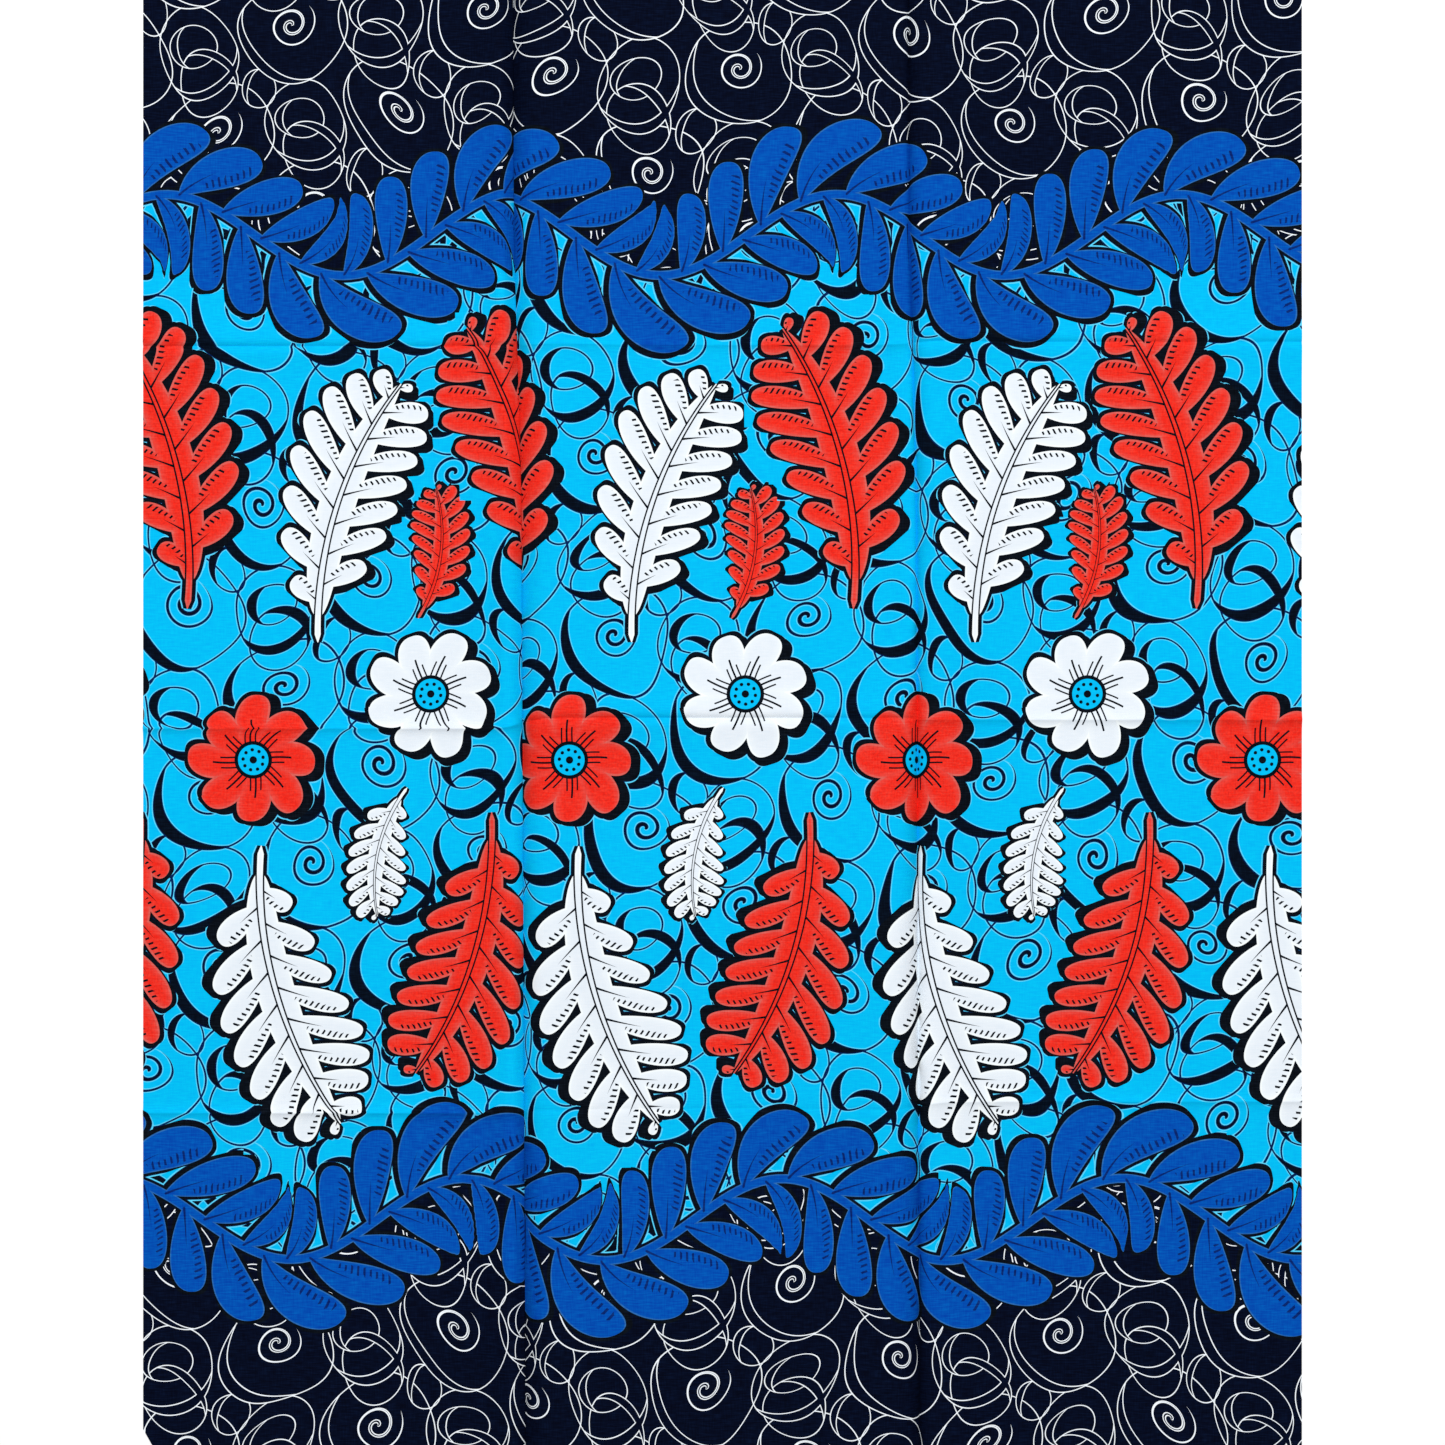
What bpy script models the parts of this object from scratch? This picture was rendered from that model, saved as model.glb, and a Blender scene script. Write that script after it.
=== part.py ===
# A cut length of wax-print cotton, opened out from its folded packet and laid flat.
# Metres, +Z up. X runs along the cut length, Y from selvage to selvage, and the
# origin is under the middle of the cloth, on the surface that it lies on.

import math
from collections import namedtuple

import bmesh
import bpy

# The cloth as it lies.
LAID_LENGTH = 0.914
WIDTH = 1.204
WALL = 0.0011

# The lengthwise tuck, a small flattened S of three plies that hides a strip of cloth.
TUCK_AT = -0.1574
TUCK_DRIFT = 0.0022
TUCK_DEPTH = 0.0058
TUCK_DEPTH_SWING = 0.0008
TUCK_DEPTH_WAVE = (9.0, 0.6)
TUCK_FOOT = 0.0012
PLY_GAP = 0.0008
TUCK_RISE = 0.024
BEND_STEPS = 6
RISE_STEPS = 4

# The other lengthwise fold, a plain valley.
FOLD_AT = 0.1535
FOLD_DRIFT = 0.0040

# Both stand in a valley between two walls that rise steeply and then fall away slowly. Each wall
# has a slope beside the line and a reach. The first row is for the lower half of the cloth, the
# second for the upper half.
Walls = namedtuple("Walls", "left_steep left_reach right_steep right_reach")
TUCK_WALLS = (Walls(0.76, 0.0100, 1.40, 0.0116), Walls(0.80, 0.0105, 1.40, 0.0130))
FOLD_WALLS = (Walls(1.50, 0.0124, 1.30, 0.0080), Walls(1.30, 0.0052, 1.40, 0.0088))
WALL_SPREAD = 4.0
WALL_CHANGE = 0.30

# The creases that run across the cut length. Each column between the lengthwise folds
# was turned over in the packet, so a crease that is a valley in one is a ridge in the next.
Crease = namedtuple("Crease", "at left middle right outer_kind inner_kind height reach")
CREASES = [
    Crease(0.3014, -0.0014, 0.0000, 0.0021, "valley", "ridge", 0.0030, 0.0062),
    Crease(0.0039, -0.0050, 0.0030, 0.0020, "ridge", "valley", 0.0034, 0.0070),
    Crease(-0.2998, -0.0044, -0.0012, 0.0046, "ridge", "valley", 0.0027, 0.0058),
]
VALLEY_SPREAD = 2.6
VALLEY_GAIN = 1.7
CREASE_SWING = 0.22
CREASE_WAVE = 11.0
CREASE_LAG = 2.1
COLUMN_BLEND = 0.016
LINE_BEND = 0.05
LINE_HOLD = 0.035
LINE_EASE = 0.10
CREASE_ROUND = 0.0012

# Low swells where the cloth has not quite settled on the surface. The weight of the cloth
# takes up the lowest part of each wave, away from the lengthwise folds.
Swell = namedtuple("Swell", "x y along across height")
SWELLS = [
    Swell(-0.330, 0.455, 0.110, 0.070, 0.0032),
    Swell(-0.270, 0.150, 0.080, 0.105, 0.0028),
    Swell(-0.345, -0.160, 0.095, 0.060, 0.0034),
    Swell(0.020, -0.150, 0.120, 0.055, 0.0029),
    Swell(0.060, 0.470, 0.075, 0.090, 0.0031),
    Swell(0.310, 0.200, 0.105, 0.070, 0.0033),
    Swell(0.330, -0.170, 0.070, 0.100, 0.0029),
    Swell(-0.010, -0.460, 0.095, 0.075, 0.0033),
    Swell(0.340, -0.455, 0.085, 0.080, 0.0028),
]
SETTLE = 0.0022
SETTLE_START = 0.004
SETTLE_REACH = 0.08

# The snipped corner at the left end of the lower selvage.
SNIP_ALONG = 0.048
SNIP_IN = 0.027
SNIP_EASE = 0.10

# Grid lines across a crease, further ones across a lengthwise fold, and the widest step between
# lines on a plain panel.
CREASE_LINES = (0.0, 0.002, 0.005, 0.0095, 0.017, 0.030)
WALL_LINES = (0.050, 0.080)
PANEL_STEP = 0.064

CLOTH_COLOUR = (0.02, 0.33, 0.62, 1.0)
CLOTH_ROUGHNESS = 0.82


def smooth(t):
    t = min(max(t, 0.0), 1.0)
    return t * t * (3.0 - 2.0 * t)


def tent(distance, reach):
    away = math.hypot(distance, CREASE_ROUND) - CREASE_ROUND
    return math.exp(-away / reach)


def crease_profile(kind, distance, height, reach):
    # A ridge stands up on its line. A valley is down on its line, between raised flanks.
    if kind == "ridge":
        return height * tent(distance, reach)
    return VALLEY_GAIN * height * (tent(distance, VALLEY_SPREAD * reach) - tent(distance, reach))


def wall_lift(distance, y, walls):
    upper = smooth(y / WALL_CHANGE + 0.5)
    low, high = (row[:2] if distance < 0.0 else row[2:] for row in walls)
    steep, reach = (a + (b - a) * upper for a, b in zip(low, high))
    scale = steep * reach / (1.0 - 1.0 / WALL_SPREAD)
    return scale * (tent(distance, WALL_SPREAD * reach) - tent(distance, reach))


def settled(x, y):
    near = min(abs(x - tuck_line(y)), abs(x - fold_line(y)))
    return SETTLE * smooth((near - SETTLE_START) / SETTLE_REACH)


def tuck_line(y):
    return TUCK_AT - TUCK_DRIFT * y / (WIDTH / 2)


def tuck_depth(y):
    rate, phase = TUCK_DEPTH_WAVE
    return TUCK_DEPTH + TUCK_DEPTH_SWING * math.sin(rate * y + phase)


def fold_line(y):
    return FOLD_AT - FOLD_DRIFT * y / (WIDTH / 2)


def crease_line(crease, x):
    # The line bends at the lengthwise folds, between three settings of its own.
    into_middle = smooth((x - TUCK_AT) / LINE_BEND + 0.5)
    into_right = smooth((x - FOLD_AT) / LINE_BEND + 0.5)
    offset = crease.left + (crease.middle - crease.left) * into_middle
    return offset + (crease.right - crease.middle) * into_right


def lift(x, y):
    # How far the underside stands above the surface at a place on it.
    in_middle = smooth((x - tuck_line(y)) / COLUMN_BLEND + 0.5)
    in_middle *= 1.0 - smooth((x - fold_line(y)) / COLUMN_BLEND + 0.5)
    total = wall_lift(x - tuck_line(y), y, TUCK_WALLS) + wall_lift(x - fold_line(y), y, FOLD_WALLS)
    for index, crease in enumerate(CREASES):
        away = y - crease.at - crease_line(crease, x)
        height = crease.height * (1.0 + CREASE_SWING * math.sin(CREASE_WAVE * x + CREASE_LAG * index))
        outer = crease_profile(crease.outer_kind, away, height, crease.reach)
        inner = crease_profile(crease.inner_kind, away, height, crease.reach)
        total += outer + (inner - outer) * in_middle
    for swell in SWELLS:
        spread = ((x - swell.x) / swell.along) ** 2 + ((y - swell.y) / swell.across) ** 2
        total += swell.height * math.exp(-spread)
    return max(total - settled(x, y), 0.0)


def bend(centre_x, centre_z, radius, start, end):
    # Points round a half turn, ends left out, all lifted as its middle is so that it stays round.
    points = []
    for step in range(1, BEND_STEPS):
        angle = math.radians(start + (end - start) * step / BEND_STEPS)
        points.append((centre_x + radius * math.cos(angle), centre_z + radius * math.sin(angle), centre_x))
    return points


def level(x, z):
    return x, z, x


def tuck_section(y):
    # The underside through the tuck, from the left panel over the three plies to the right: each
    # point's place, its height, and the place whose lift it takes.
    edge, depth = tuck_line(y), tuck_depth(y)
    outer, inner = WALL + PLY_GAP / 2, PLY_GAP / 2
    top, under_top = 2 * WALL + 2 * PLY_GAP, 2 * WALL + PLY_GAP
    right_bend, left_bend = edge - outer, edge - outer - depth
    foot = left_bend - outer - TUCK_FOOT
    points = []
    for step in range(RISE_STEPS + 1):
        share = step / RISE_STEPS
        points.append(level(foot - TUCK_RISE * (1.0 - share), top * smooth(share)))
    points.append(level(left_bend, top))
    points.append(level(right_bend, top))
    points += bend(right_bend, top - inner, inner, 90, -90)
    points.append(level(right_bend, under_top))
    points.append(level(left_bend, under_top))
    points += bend(left_bend, outer, outer, 90, 270)
    points.append(level(left_bend, 0.0))
    points.append(level(edge, 0.0))
    for offset in CREASE_LINES[1:] + WALL_LINES:
        points.append(level(edge + offset, 0.0))
    return points


def lines_between(low, high, step):
    # Even lines inside a stretch, its ends left out.
    count = max(math.ceil((high - low) / step), 1)
    return [low + (high - low) * index / count for index in range(1, count)]


def lines_at(places, offsets, low, high):
    # Close lines beside each crease, and wide ones on the panels between.
    near = sorted({place + side * offset for place in places for side in (-1, 1) for offset in offsets})
    marks = [low] + near + [high]
    lines = [low]
    for start, end in zip(marks, marks[1:]):
        lines += lines_between(start, end, PANEL_STEP) + [end]
    return lines


def section(y):
    # Every grid line's place along the cloth, its height before the creases lift it, and the place
    # whose lift it takes.
    tuck = tuck_section(y)
    left_end, right_start = tuck[0][0], tuck[-1][0]
    left = [-LAID_LENGTH / 2] + lines_between(-LAID_LENGTH / 2, TUCK_AT - WALL_LINES[-1], PANEL_STEP)
    left += [TUCK_AT - offset for offset in reversed(WALL_LINES)]
    right = lines_at([FOLD_AT], CREASE_LINES + WALL_LINES, TUCK_AT + WALL_LINES[-1], LAID_LENGTH / 2)[1:]
    shift = fold_line(y) - FOLD_AT
    panel = LAID_LENGTH / 2 - FOLD_AT
    points = [level(x, 0.0) for x in left if x < left_end]
    points += tuck
    for x in right:
        share = 1.0 - smooth((abs(x - FOLD_AT) - CREASE_LINES[-1]) / panel * 2.0)
        points.append(level(x + shift * share, 0.0))
    assert points[len(left)][0] < right_start
    return points


def warped(x, y):
    # Grid lines near a crease follow it, and those half-way between two creases are straight.
    moved = y
    for crease in CREASES:
        share = 1.0 - smooth((abs(y - crease.at) - LINE_HOLD) / LINE_EASE)
        moved += share * crease_line(crease, x)
    return moved


def snipped(x, y):
    # The corner's edge slants inwards, and the lines beside it close up.
    start = -WIDTH / 2 + SNIP_ALONG
    if y >= start:
        return x
    edge = SNIP_IN * (start - y) / SNIP_ALONG
    share = (x + LAID_LENGTH / 2) / SNIP_EASE
    return x + edge * (1.0 - share) if share < 1.0 else x


def cloth_material():
    material = bpy.data.materials.new("wax print cotton")
    material.use_nodes = True
    shader = material.node_tree.nodes["Principled BSDF"]
    shader.inputs["Base Color"].default_value = CLOTH_COLOUR
    shader.inputs["Roughness"].default_value = CLOTH_ROUGHNESS
    shader.inputs["Metallic"].default_value = 0.0
    return material


def cloth(collection):
    rows = lines_at([crease.at for crease in CREASES], CREASE_LINES, -WIDTH / 2, WIDTH / 2)
    corner = -WIDTH / 2 + SNIP_ALONG
    rows = sorted(set(rows) | {corner, corner - SNIP_ALONG / 2})
    sections = [section(y) for y in rows]
    columns = len(sections[0])

    grid = bmesh.new()
    bmesh.ops.create_grid(grid, x_segments=columns - 1, y_segments=len(rows) - 1, size=0.5)
    for vertex in grid.verts:
        column = round((vertex.co.x + 0.5) * (columns - 1))
        row = round((vertex.co.y + 0.5) * (len(rows) - 1))
        x, z, lifted_at = sections[row][column]
        y = warped(x, rows[row])
        vertex.co = (snipped(x, y), y, z + lift(lifted_at, y))
    mesh = bpy.data.meshes.new("cloth")
    grid.to_mesh(mesh)
    grid.free()

    piece = bpy.data.objects.new("cloth", mesh)
    collection.objects.link(piece)
    mesh.materials.append(cloth_material())
    mesh.shade_smooth()
    wall = piece.modifiers.new("wall", "SOLIDIFY")
    wall.thickness = WALL
    wall.offset = 1.0
    wall.use_even_offset = True
    return piece


def main():
    for item in list(bpy.data.objects):
        bpy.data.objects.remove(item, do_unlink=True)
    collection = bpy.data.collections.new("ankara fabric")
    bpy.context.scene.collection.children.link(collection)
    cloth(collection)


main()
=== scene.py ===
import math

import bpy
import numpy as np
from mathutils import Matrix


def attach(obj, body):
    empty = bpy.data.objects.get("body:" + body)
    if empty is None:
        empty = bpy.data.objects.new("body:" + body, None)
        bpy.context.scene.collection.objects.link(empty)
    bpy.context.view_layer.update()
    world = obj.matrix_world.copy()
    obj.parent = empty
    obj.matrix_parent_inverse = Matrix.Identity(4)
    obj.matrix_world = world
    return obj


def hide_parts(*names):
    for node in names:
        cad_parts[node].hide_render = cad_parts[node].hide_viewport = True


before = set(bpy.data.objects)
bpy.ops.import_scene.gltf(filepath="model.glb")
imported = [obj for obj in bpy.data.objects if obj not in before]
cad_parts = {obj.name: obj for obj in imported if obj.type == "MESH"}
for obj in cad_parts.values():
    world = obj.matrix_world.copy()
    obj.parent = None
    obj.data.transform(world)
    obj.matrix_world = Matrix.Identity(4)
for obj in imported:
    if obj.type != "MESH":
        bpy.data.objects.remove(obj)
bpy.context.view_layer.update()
print("frame loaded")

# The cloth as it lies, in metres: the same sizes as the solid, with a thinner wall.
cloth = {
    "length": 0.914,
    "width": 1.204,
    "thickness": 0.00045,
    "panelStep": 0.0066,  # between the mesh lines, away from the creases
    "lean": 0.0050,  # how far the lengthwise lines lean to the left, from which share of the half width
    "leanFrom": 0.25,
    "leanReach": 0.45,
    "followReach": 0.15,  # how far beside a lengthwise line the threads run along with it
    "columnBlend": 0.016,
    "settle": 0.0022,  # the weight of the cloth takes this off its swells
    "settleFrom": 0.004,
    "settleReach": 0.08,
    "snipAlong": 0.048,  # the snipped corner: along the end, along the selvage, and how far in it is felt
    "snipIn": 0.027,
    "snipEase": 0.10,
    "smoothBelow": 60.0,  # degrees between two faces that shade as one
}

# The left lengthwise line, where the cloth is tucked under beside a valley. A wave is a size, a rate and a
# phase, and lines are how many the mesh has in each stretch. Walls are those of the valley, left and right
# of the line: slope beside it and reach. They change from the lower half of the cloth to the upper.
tuck = {
    "at": -0.1576,
    "drift": 0.0026,
    "depth": 0.0058,
    "depthWave": (0.0008, 9.0, 0.6),
    "gap": 0.0008,
    "foot": 0.0012,
    "ramp": 0.026,
    "panelEnd": 0.042,
    "crest": 0.0009,
    "crestWaves": ((0.5, 7.0, -1.1), (0.3, 23.0, 0.0)),
    "lines": {"ramp": 11, "crest": 6, "top": 8, "bend": 8, "under": 6},
    "walls": {"lower": ((1.45, 0.0074), (1.60, 0.0124)), "upper": ((1.45, 0.0080), (1.45, 0.0142)),
              "pinch": (0.0, 0.0008)},
}

# The right one is a valley alone, pressed sharp at its line.
fold = {
    "at": 0.1537,
    "drift": 0.0022,
    "walls": {"lower": ((1.62, 0.0140), (1.35, 0.0086)), "upper": ((1.35, 0.0044), (1.50, 0.0100)),
              "pinch": (1.35, 0.0010)},
}

# How both are pressed: how far their shoulders spread, how round the line is, and over which length the
# walls change.
pressing = {"shoulder": 4.0, "pinchShoulder": 20.0, "rounding": 0.0001, "change": 0.30}

# The creases across the length, in the left, the middle and the right column. A valley between two ridges
# was turned over in the packet. Steep is the slope beside the line.
creases = [
    {"at": 0.3014, "kinds": ("valley", "ridge", "valley"), "shifts": (-0.0014, 0.0000, 0.0021),
     "steeps": (1.05, 0.62, 1.00), "reach": 0.0034},
    {"at": 0.0039, "kinds": ("ridge", "valley", "ridge"), "shifts": (-0.0050, 0.0030, 0.0020),
     "steeps": (0.86, 1.00, 0.80), "reach": 0.0035},
    {"at": -0.2998, "kinds": ("ridge", "valley", "ridge"), "shifts": (-0.0044, -0.0012, 0.0046),
     "steeps": (0.66, 0.25, 0.52), "reach": 0.0036},
]

# What these have in common. Swing is how much their height varies along the cloth, by a rate along it and
# a step from crease to crease. Follow is how near the mesh lines run along with a crease.
creasing = {"shoulder": 2.6, "rounding": 0.0005, "blend": 0.05, "swing": 0.16, "swingRate": 11.0,
            "swingStep": 2.1, "follow": 0.035, "followReach": 0.10}

# Mesh lines beside a crease, by their distance from it.
creaseGrid = (0.0, 0.0006, 0.0013, 0.0022, 0.0035, 0.0052, 0.0075, 0.0108, 0.0150, 0.0200)

# Low swells where the cloth has not settled: x, y, half length, half width, height.
swells = [
    (-0.330, 0.455, 0.110, 0.070, 0.0032),
    (-0.270, 0.150, 0.080, 0.105, 0.0028),
    (-0.345, -0.160, 0.095, 0.060, 0.0034),
    (0.020, -0.150, 0.120, 0.055, 0.0029),
    (0.060, 0.470, 0.075, 0.090, 0.0031),
    (0.310, 0.200, 0.105, 0.070, 0.0033),
    (0.330, -0.170, 0.070, 0.100, 0.0029),
    (-0.010, -0.460, 0.095, 0.075, 0.0033),
    (0.340, -0.455, 0.085, 0.080, 0.0028),
]


def smooth(t):
    t = np.clip(t, 0.0, 1.0)
    return t * t * (3.0 - 2.0 * t)


def tent(distance, reach, rounding):
    return np.exp((rounding - np.hypot(distance, rounding)) / reach)


def creaseProfile(kind, distance, steep, reach, shoulder, rounding):
    # a valley sinks between two soft shoulders that spread further out
    near = tent(distance, reach, rounding)
    if kind == "ridge":
        return steep * reach * near
    return steep * reach / (1.0 - 1.0 / shoulder) * (tent(distance, shoulder * reach, rounding) - near)


def lineOf(valley, y):
    # a lengthwise line drifts along the cloth, and leans to the left near its top
    part = y / (cloth["width"] / 2)
    lean = cloth["lean"] * smooth((part - cloth["leanFrom"]) / cloth["leanReach"])
    return valley["at"] - valley["drift"] * part - lean


def follow(x, y, valley):
    # the threads beside a line run along with it
    near = 1.0 - smooth((abs(x - valley["at"]) - creaseGrid[-1]) / cloth["followReach"])
    return x + (lineOf(valley, y) - valley["at"]) * near


def columnShares(x, y, blend):
    # how far a place belongs to the left, the middle and the right column
    pastTuck = smooth((x - lineOf(tuck, y)) / blend + 0.5)
    pastFold = smooth((x - lineOf(fold, y)) / blend + 0.5)
    return 1.0 - pastTuck, pastTuck - pastFold, pastFold


def creaseShift(crease, x):
    shares = columnShares(x, 0.0, creasing["blend"])
    return sum(share * shift for share, shift in zip(shares, crease["shifts"]))


def wallsAt(x, y, valley):
    # a lengthwise valley, whose two walls differ, and the sharp pinch at its line
    distance = x - lineOf(valley, y)
    upper = smooth(y / pressing["change"] + 0.5)
    lowerWalls, upperWalls = np.array(valley["walls"]["lower"]), np.array(valley["walls"]["upper"])
    total, shoulder, rounding = 0.0, pressing["shoulder"], pressing["rounding"]
    for side, beside in enumerate((distance < 0.0, distance >= 0.0)):
        steep, reach = (lowerWalls[side, part] + (upperWalls - lowerWalls)[side, part] * upper
                        for part in (0, 1))
        total = total + beside * creaseProfile("valley", distance, steep, reach, shoulder, rounding)
    steep, reach = valley["walls"]["pinch"]
    return total + creaseProfile("valley", distance, steep, reach, pressing["pinchShoulder"], rounding)


def settled(x, y):
    # the cloth's weight takes up the lowest waves, but not at the lengthwise folds
    near = np.minimum(np.abs(x - lineOf(tuck, y)), np.abs(x - lineOf(fold, y)))
    return cloth["settle"] * smooth((near - cloth["settleFrom"]) / cloth["settleReach"])


def liftAt(x, y):
    # how far the cloth stands above the surface it lies on
    total = wallsAt(x, y, tuck) + wallsAt(x, y, fold)
    for atX, atY, along, across, height in swells:
        total = total + height * np.exp(-(((x - atX) / along) ** 2) - ((y - atY) / across) ** 2)
    total = np.maximum(total - settled(x, y), 0.0)
    shares = columnShares(x, y, cloth["columnBlend"])
    for index, crease in enumerate(creases):
        away = y - crease["at"] - creaseShift(crease, x)
        swing = 1.0 + creasing["swing"] * np.sin(creasing["swingRate"] * x + creasing["swingStep"] * index)
        for share, kind, steep in zip(shares, crease["kinds"], crease["steeps"]):
            total = total + share * creaseProfile(kind, away, steep * swing, crease["reach"],
                                                  creasing["shoulder"], creasing["rounding"])
    return total


def linesBetween(low, high):
    count = max(math.ceil((high - low) / cloth["panelStep"]), 1)
    return [low + (high - low) * index / count for index in range(1, count)]


def linesAt(places, low, high):
    near = sorted({place + side * offset for place in places for side in (-1, 1) for offset in creaseGrid})
    marks = [low] + near + [high]
    lines = [low]
    for start, end in zip(marks, marks[1:]):
        lines += linesBetween(start, end) + [end]
    return lines


def tuckSection(y):
    # the print side through the tuck: up the left panel, over the crest, back under, and out to the right
    edge = lineOf(tuck, y)
    size, rate, phase = tuck["depthWave"]
    depth = tuck["depth"] + size * math.sin(rate * y + phase)
    crest = tuck["crest"] * (1.0 + sum(size * math.sin(rate * y + phase)
                                       for size, rate, phase in tuck["crestWaves"]))
    wall, gap, lines = cloth["thickness"], tuck["gap"], tuck["lines"]
    outer, inner = wall + gap / 2, gap / 2
    top, underTop = 3 * wall + 2 * gap, wall + gap
    rightBend, leftBend = edge - outer, edge - outer - depth
    foot = leftBend - outer - tuck["foot"]
    points = []
    for step in range(lines["ramp"] + 1):
        share = step / lines["ramp"]
        points.append((foot - tuck["ramp"] * (1.0 - share), wall + (top - wall) * float(smooth(share))))
    first = len(points) - lines["crest"]
    for step in range(1, lines["top"] + 1):
        points.append((foot + (rightBend - foot) * step / lines["top"], top))
    for step in range(first + 1, len(points)):
        share = (points[step][0] - points[first][0]) / (rightBend - points[first][0])
        points[step] = (points[step][0], points[step][1] + crest * math.sin(math.pi * share) ** 2)
    for step in range(1, lines["bend"]):
        angle = math.radians(90 - 180 * step / lines["bend"])
        points.append((rightBend + outer * math.cos(angle), top - outer + outer * math.sin(angle)))
    for step in range(lines["under"] + 1):
        points.append((rightBend + (leftBend - rightBend) * step / lines["under"], underTop))
    for step in range(1, lines["bend"]):
        angle = math.radians(90 + 180 * step / lines["bend"])
        points.append((leftBend + inner * math.cos(angle), wall + inner + inner * math.sin(angle)))
    for step in range(lines["under"] + 1):
        points.append((leftBend + (edge - leftBend) * step / lines["under"], wall))
    return points + [(edge + offset, wall) for offset in creaseGrid[1:]]


def clothSection(y):
    # the whole print side across the cloth, before it is lifted
    end = cloth["length"] / 2
    left = [-end] + linesBetween(-end, tuck["at"] - tuck["panelEnd"])
    right = linesAt([fold["at"]], tuck["at"] + creaseGrid[-1], end)[1:]
    points = [(follow(x, y, tuck), cloth["thickness"]) for x in left] + tuckSection(y)
    return points + [(follow(follow(x, y, tuck), y, fold), cloth["thickness"]) for x in right]


def layCloth():
    end, selvage = cloth["length"] / 2, cloth["width"] / 2
    corner = cloth["snipAlong"] - selvage
    rows = linesAt([crease["at"] for crease in creases], -selvage, selvage)
    rows = np.array(sorted(set(rows) | {corner}))
    sections = np.array([clothSection(y) for y in rows])
    columns = sections.shape[1]
    gridX, gridZ = sections[:, :, 0], sections[:, :, 1]
    rowY = np.repeat(rows[:, None], columns, axis=1)
    gridY = rowY.copy()
    for crease in creases:
        away = np.abs(rowY - crease["at"])
        share = 1.0 - smooth((away - creasing["follow"]) / creasing["followReach"])
        gridY += share * creaseShift(crease, gridX)
    # a corner was snipped off
    cut = cloth["snipIn"] * np.clip((corner - gridY) / cloth["snipAlong"], 0.0, 1.0)
    gridX = gridX + cut * np.clip(1.0 - (gridX + end) / cloth["snipEase"], 0.0, 1.0)
    gridZ = gridZ + liftAt(gridX, gridY)
    # where each thread lay before the cloth was folded, measured over the folds from the middle panel
    steps = np.hypot(np.diff(gridX, axis=1), np.diff(gridZ, axis=1))
    flatX = np.concatenate([np.zeros((len(rows), 1)), np.cumsum(steps, axis=1)], axis=1)
    middle = np.abs(gridX[0]).argmin()
    flatX += (gridX - flatX)[:, middle:middle + 1]

    bpy.ops.mesh.primitive_grid_add(x_subdivisions=columns - 1, y_subdivisions=len(rows) - 1, size=1.0)
    piece = bpy.context.object
    piece.name = piece.data.name = "printedCloth"
    mesh = piece.data
    places = np.empty(len(mesh.vertices) * 3)
    mesh.vertices.foreach_get("co", places)
    places = places.reshape(-1, 3)
    column = np.rint((places[:, 0] + 0.5) * (columns - 1)).astype(int)
    row = np.rint((places[:, 1] + 0.5) * (len(rows) - 1)).astype(int)
    laid = np.stack([gridX[row, column], gridY[row, column], gridZ[row, column]], axis=1)
    mesh.vertices.foreach_set("co", laid.ravel())
    flat = np.stack([flatX[row, column], gridY[row, column]], axis=1)
    print("cloth laid:", columns, "by", len(rows), "lines")
    return piece, flat


# The print, in millimetres on the flat cloth. A generic wax print: leafy garlands beside the dark selvage
# bands, lobed leaves and blossoms on a bright field, and curls behind them.
garland = {
    "height": 388.0,
    "period": 278.0,
    "swing": 32.0,
    "shift": 20.0,
    "lag": 97.0,
    "reach": 59.0,
    "zone": 70.0,
    "pitch": 36.5,
    "sweep": 0.78,
    "leafWidth": 13.6,
    "stem": 3.6,
    "line": 2.2,
}

lobedLeaf = {
    "length": 212.0,
    "reach": 54.0,
    "rise": 0.55,
    "fall": 0.62,
    "pitch": 26.0,
    "sweep": 0.70,
    "lobeWidth": 9.4,
    "line": 2.9,
    "bend": 0.0030,
    "margin": 14.0,
    "core": {"share": 0.28, "rise": 0.5, "fall": 0.7},
    "stalk": {"from": -22.0, "full": -14.0, "tip": 12.0, "half": 2.7, "least": 0.3},
    "midrib": {"half": 3.0, "thins": 1.9, "line": 0.65},
}

# A stroke up a petal is its distance from the middle, its half width and the share of the petal it runs up.
blossom = {
    "radius": 52.0,
    "petals": 8,
    "petalWidth": 13.4,
    "rise": 0.85,
    "fall": 0.42,
    "twist": 0.35,
    "uneven": 2.0,
    "unevenRate": 2.4,
    "line": 2.8,
    "margin": 8.0,
    "strokes": ((0.0, 0.75, 0.62), (4.1, 0.6, 0.50)),
    "heart": 12.0,
    "core": 2.9,
    "seeds": {"count": 9, "ring": 8.0, "apart": 5.4, "radius": 1.35},
}

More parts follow.
